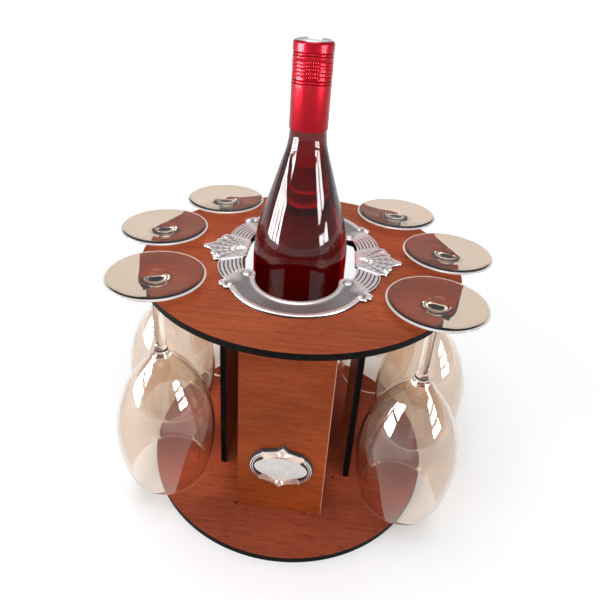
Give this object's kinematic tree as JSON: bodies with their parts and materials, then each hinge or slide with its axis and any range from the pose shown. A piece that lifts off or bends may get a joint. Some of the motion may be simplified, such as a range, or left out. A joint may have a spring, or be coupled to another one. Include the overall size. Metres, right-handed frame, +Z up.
{
  "type": "wine bottle and glass holder",
  "caption": "Round tabletop stand of cut boards that holds a wine bottle upright in its centre and wine glasses hanging by their feet round its edge.",
  "frame": {"origin": "centre of the base board's underside", "axes": "+Z up along the stand's axis, +X to the right seen from the front, front faces -Y"},
  "size_m": [0.335, 0.27, 0.3929],
  "materials": {
    "base_wood": "satin, dark reddish brown",
    "top_wood": "satin, reddish brown",
    "panel_wood": "satin, reddish brown",
    "silver_plate": "polished with engraved darker lines",
    "dark_backing": "matt",
    "badge_face": "gloss",
    "clear_glass": "clear",
    "bottle_glass": "clear, dark tint",
    "red_wine": "clear dark red liquid",
    "red_cap": "gloss crimson paint"
  },
  "bodies": {
    "root": {"base_board": "base_wood", "top_board": "top_wood", "front_panel": "panel_wood", "back_panel": "panel_wood", "left_panel": "panel_wood", "right_panel": "panel_wood", "bottle_shelf": "panel_wood", "ornamental_plate": "silver_plate", "badge_backing": "dark_backing", "badge_face": "badge_face", "bottle": "bottle_glass", "wine": "red_wine", "screw_cap": "red_cap", "glass_right_front": "clear_glass", "glass_left_front": "clear_glass", "glass_right_middle": "clear_glass", "glass_left_middle": "clear_glass", "glass_right_back": "clear_glass", "glass_left_back": "clear_glass"}
  },
  "joints": []
}
